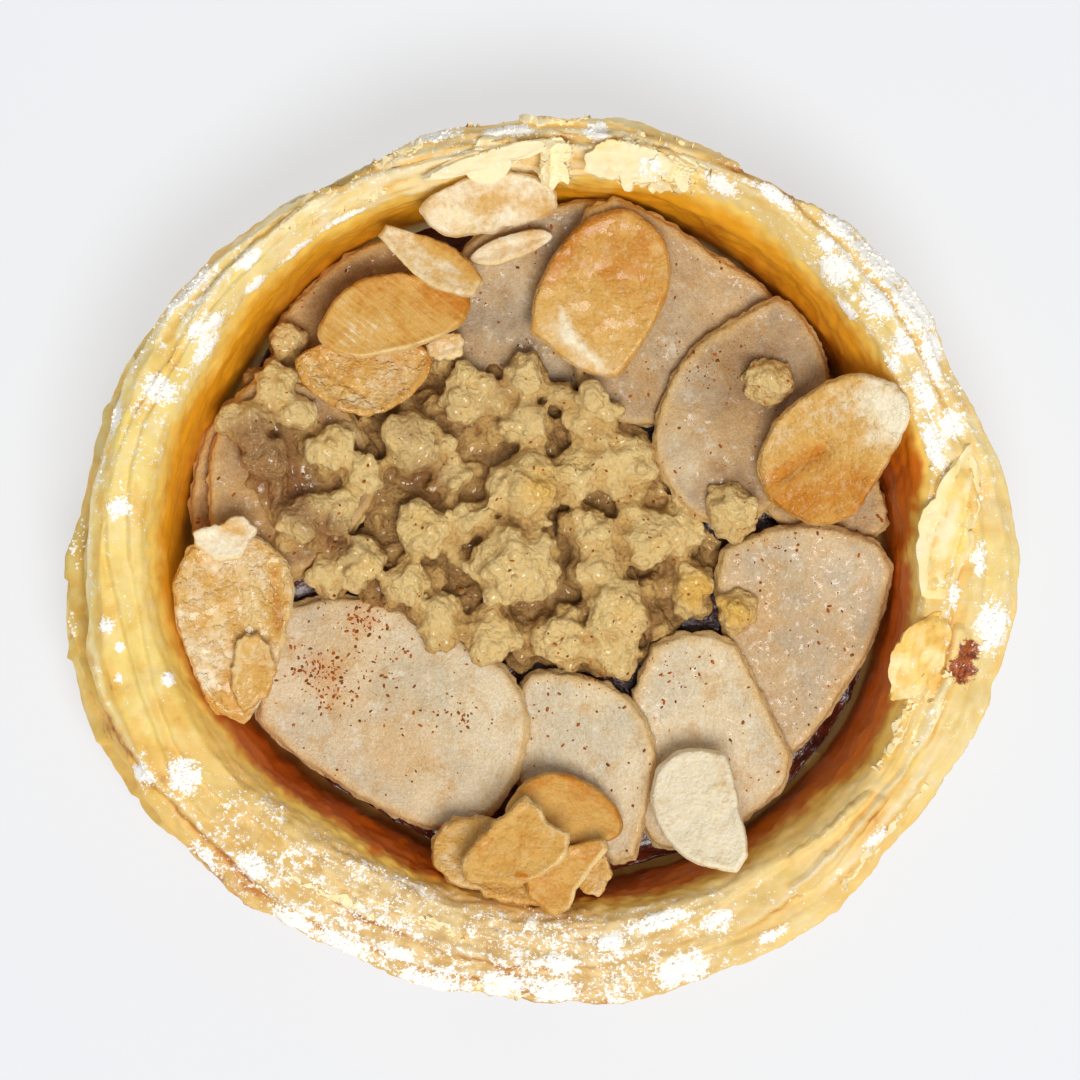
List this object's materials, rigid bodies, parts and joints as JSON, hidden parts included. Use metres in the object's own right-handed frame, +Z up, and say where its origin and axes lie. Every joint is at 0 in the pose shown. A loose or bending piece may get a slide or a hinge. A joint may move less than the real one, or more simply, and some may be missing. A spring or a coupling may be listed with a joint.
{
  "type": "apple tart",
  "caption": "Small round open tart: flaky puff pastry shell, dark fruit filling, ring of overlapping apple slices, crumble heap and toasted almond flakes, dusted with icing sugar.",
  "frame": {"origin": "on the table under the middle of the tart's bounding box", "axes": "+Z up out of the open side of the tart, +X along its widest direction, towards the upright flake on the rim"},
  "size_m": [0.1038, 0.0962, 0.0258],
  "materials": {
    "pastry": "flaky baked dough, matte",
    "filling": "moist, glossy",
    "apple": "baked, satin",
    "crumble": "crumbly, matte with moist spots",
    "almond": "toasted, satin"
  },
  "bodies": {
    "root": {"pastry_shell": "pastry", "fruit_filling": "filling", "apple_slice_left_under": "apple", "apple_slice_left_over": "apple", "apple_slice_top_left": "apple", "apple_slice_top": "apple", "apple_slice_top_right": "apple", "apple_slice_right_under": "apple", "apple_slice_right": "apple", "apple_slice_right_low": "apple", "apple_slice_bottom_right": "apple", "apple_slice_bottom": "apple", "apple_slice_bottom_left": "apple", "crumble_lump_far": "crumble", "crumble_lump_upper": "crumble", "crumble_lump_lower": "crumble", "crumble_heap": "crumble", "almond_top_sliver": "almond", "almond_top_crescent": "almond", "almond_upper_left_round": "almond", "almond_upper_left_chip": "almond", "almond_upper_left_oval": "almond", "almond_upper_left_shard": "almond", "almond_top_shield": "almond", "almond_right_broad": "almond", "almond_left_disc": "almond", "almond_left_top_shard": "almond", "almond_left_low_shard": "almond", "almond_bottom_clump": "almond", "almond_bottom_back": "almond", "almond_bottom_crumb": "almond", "almond_bottom_low": "almond", "almond_bottom_front": "almond", "almond_bottom_pale": "almond"}
  },
  "joints": []
}
